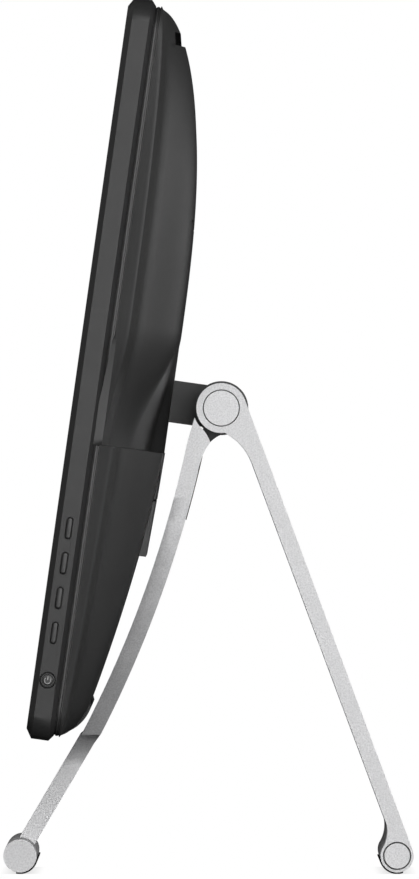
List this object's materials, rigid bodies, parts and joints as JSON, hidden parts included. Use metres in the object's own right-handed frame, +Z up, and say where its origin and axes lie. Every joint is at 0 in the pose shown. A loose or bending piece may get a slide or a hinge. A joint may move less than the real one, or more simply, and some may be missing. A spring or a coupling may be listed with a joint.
{
  "type": "digital photo frame",
  "caption": "Large digital photo frame: flat display with a domed black back and side keys, tilting on a folding A-frame easel stand of aluminium.",
  "frame": {"origin": "on the floor, midway between the front and rear feet and on the centre line", "axes": "+Z up, the screen faces -Y, the viewer's right is +X"},
  "size_m": [0.5433, 0.1878, 0.3965],
  "materials": {
    "bezel_plastic": "fine moulded texture, black",
    "shell_plastic": "fine moulded texture, black",
    "grille_plastic": "moulded, black",
    "arm_plastic": "fine moulded texture, black",
    "key_plastic": "satin, black",
    "screen_glass": "polished, clear with a black printed border",
    "black_foam": "foam tape",
    "lcd_cell": "switched-off display cell",
    "white_film": "white film",
    "clear_acrylic": "clear acrylic",
    "plated_steel": "zinc plated",
    "screw_steel": "turned",
    "spring_steel": "tempered",
    "black_screw": "black oxide",
    "bracket_black": "black powder coat",
    "circuit_board": "solder mask",
    "black_resin": "moulded",
    "black_aluminium": "black anodised",
    "flat_cable": "flat flexible cable",
    "bush_bronze": "sintered",
    "stand_aluminium": "bead blasted and clear anodised",
    "cap_aluminium": "bead blasted and clear anodised",
    "foot_rubber": "matt"
  },
  "bodies": {
    "stand": {"rear_leg": "stand_aluminium", "hinge_shaft": "screw_steel", "shaft_screws": "screw_steel", "disc_springs": "spring_steel", "hub_cap_right": "cap_aluminium", "hub_cap_left": "cap_aluminium", "rear_foot_cap_right": "cap_aluminium", "rear_foot_cap_left": "cap_aluminium", "rear_rubber_strip": "foot_rubber"},
    "front_support": {"front_leg": "stand_aluminium", "front_bracket": "bracket_black", "bracket_screws": "black_screw", "front_foot_bar": "stand_aluminium", "front_bar_screws": "screw_steel", "front_rubber_strip": "foot_rubber"},
    "display": {"front_bezel": "bezel_plastic", "cover_glass": "screen_glass", "glass_tape": "black_foam", "lcd_panel": "lcd_cell", "optical_sheets": "white_film", "light_guide": "clear_acrylic", "reflector_sheet": "white_film", "led_strip": "circuit_board", "panel_tray": "plated_steel", "light_sensor": "black_resin", "chassis_plate": "plated_steel", "chassis_screws": "screw_steel", "main_board": "circuit_board", "board_screws": "screw_steel", "heat_sink": "black_aluminium", "wireless_module": "plated_steel", "display_cable": "flat_cable", "speaker_left": "black_resin", "speaker_right": "black_resin", "button_board": "circuit_board", "button_switches": "plated_steel", "card_slot": "plated_steel", "audio_socket": "black_resin", "power_jack": "black_resin", "video_socket": "plated_steel", "data_sockets": "plated_steel", "rear_cover": "shell_plastic", "vent_grille": "grille_plastic", "bottom_grille": "grille_plastic", "connector_bay": "shell_plastic", "hinge_cover": "shell_plastic", "service_cover": "shell_plastic", "cover_screws": "black_screw", "hinge_arm": "plated_steel", "hinge_arm_screws": "screw_steel", "hinge_arm_cover": "arm_plastic", "friction_bushes": "bush_bronze"},
    "menu_key_1": {"menu_button_1": "key_plastic"},
    "menu_key_2": {"menu_button_2": "key_plastic"},
    "menu_key_3": {"menu_button_3": "key_plastic"},
    "menu_key_4": {"menu_button_4": "key_plastic"},
    "power_key": {"power_button": "key_plastic"}
  },
  "joints": [
    {"name": "display_tilt", "type": "hinge", "parent": "stand", "child": "display", "pos_m": [0, 0.00585, 0.2132], "axis": [-1, 0, 0], "range_deg": [0, 62]},
    {"name": "front_leg_fold", "type": "hinge", "parent": "stand", "child": "front_support", "pos_m": [0, 0.00585, 0.2132], "axis": [1, 0, 0], "range_deg": [0, 40]},
    {"name": "menu_push_1", "type": "slide", "parent": "display", "child": "menu_key_1", "axis": [-1, 0, 0], "range_m": [0, 0.0006], "stiffness_N_per_m": 400},
    {"name": "menu_push_2", "type": "slide", "parent": "display", "child": "menu_key_2", "axis": [-1, 0, 0], "range_m": [0, 0.0006], "stiffness_N_per_m": 400},
    {"name": "menu_push_3", "type": "slide", "parent": "display", "child": "menu_key_3", "axis": [-1, 0, 0], "range_m": [0, 0.0006], "stiffness_N_per_m": 400},
    {"name": "menu_push_4", "type": "slide", "parent": "display", "child": "menu_key_4", "axis": [-1, 0, 0], "range_m": [0, 0.0006], "stiffness_N_per_m": 400},
    {"name": "power_push", "type": "slide", "parent": "display", "child": "power_key", "axis": [-1, 0, 0], "range_m": [0, 0.0006], "stiffness_N_per_m": 400}
  ]
}
